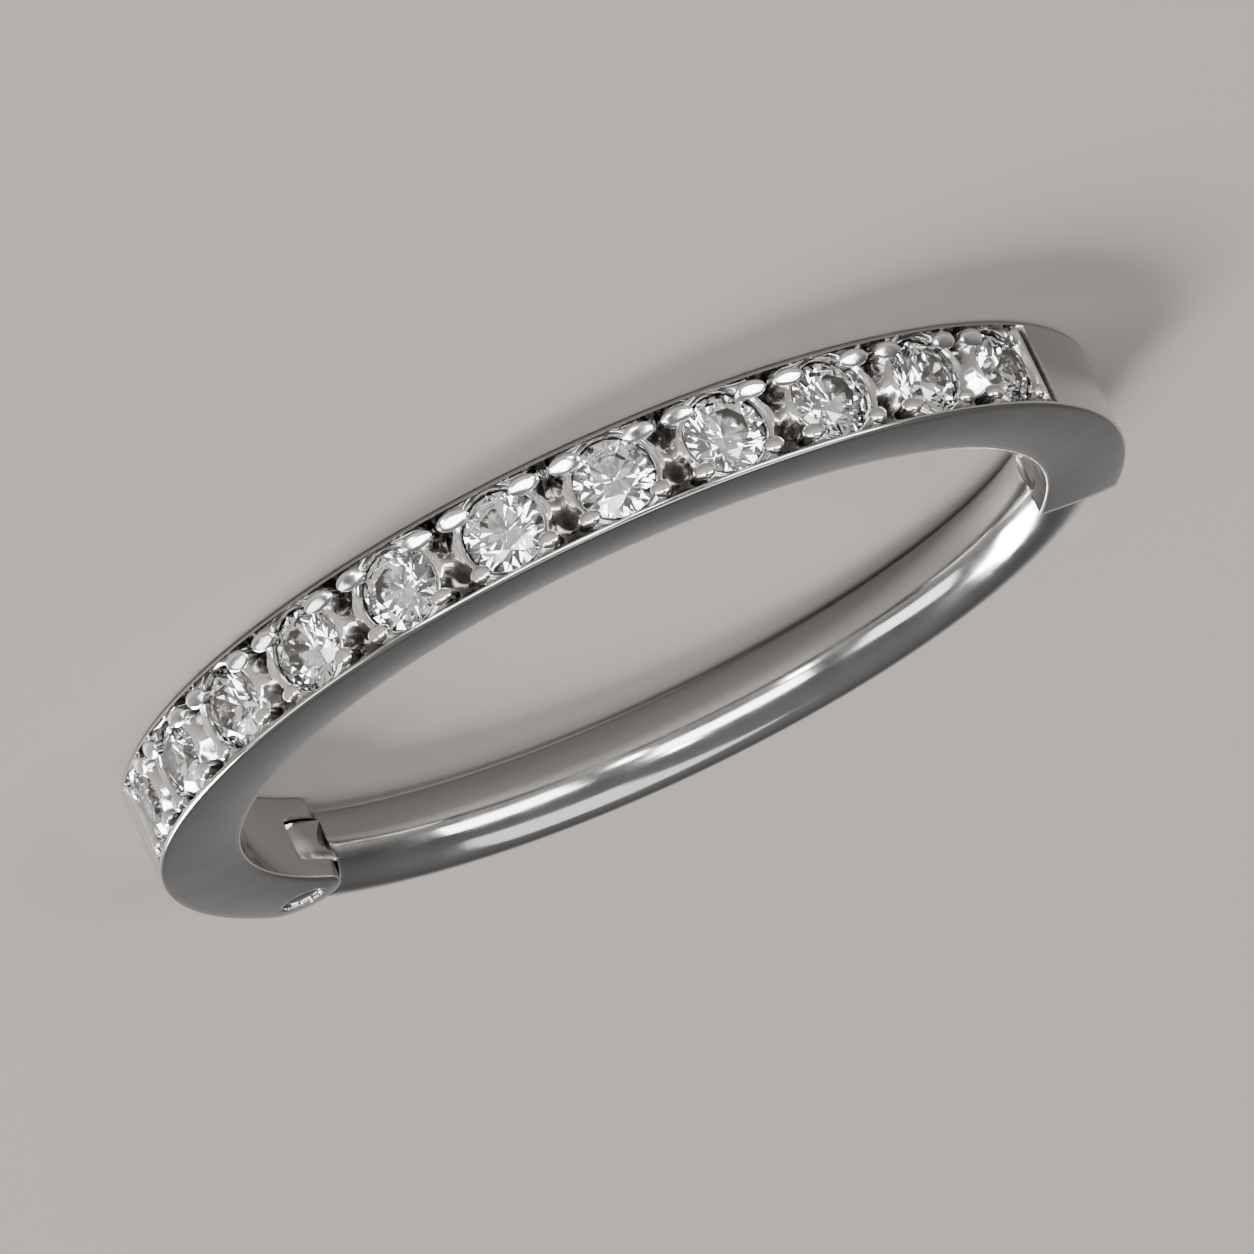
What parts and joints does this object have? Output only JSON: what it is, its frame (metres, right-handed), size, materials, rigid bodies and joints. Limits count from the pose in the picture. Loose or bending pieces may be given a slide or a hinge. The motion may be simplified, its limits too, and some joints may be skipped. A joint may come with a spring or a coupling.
{
  "type": "hinged clicker ring",
  "caption": "Small ring with a row of clear stones along its front, whose plain wire segment swings out on a hinge pin and closes into a slot.",
  "frame": {"origin": "centre of the ring, on the surface it lies on", "axes": "+Z along the ring's axis, away from the surface it lies on; -Y towards the middle of the paved front; +X towards the hinge's side"},
  "size_m": [0.012, 0.012, 0.0011],
  "materials": {
    "steel": "high polish, with fine hand-polishing marks",
    "stone": "clear faceted stone"
  },
  "bodies": {
    "ring": {"ring_body": "steel", "stone_row": "stone", "hinge_pin": "steel"},
    "gate": {"gate": "steel"}
  },
  "joints": [
    {"name": "gate_hinge", "type": "hinge", "parent": "ring", "child": "gate", "pos_m": [0.00506, 0.00215, 0.00055], "axis": [0, 0, -1], "range_deg": [0, 80]}
  ]
}
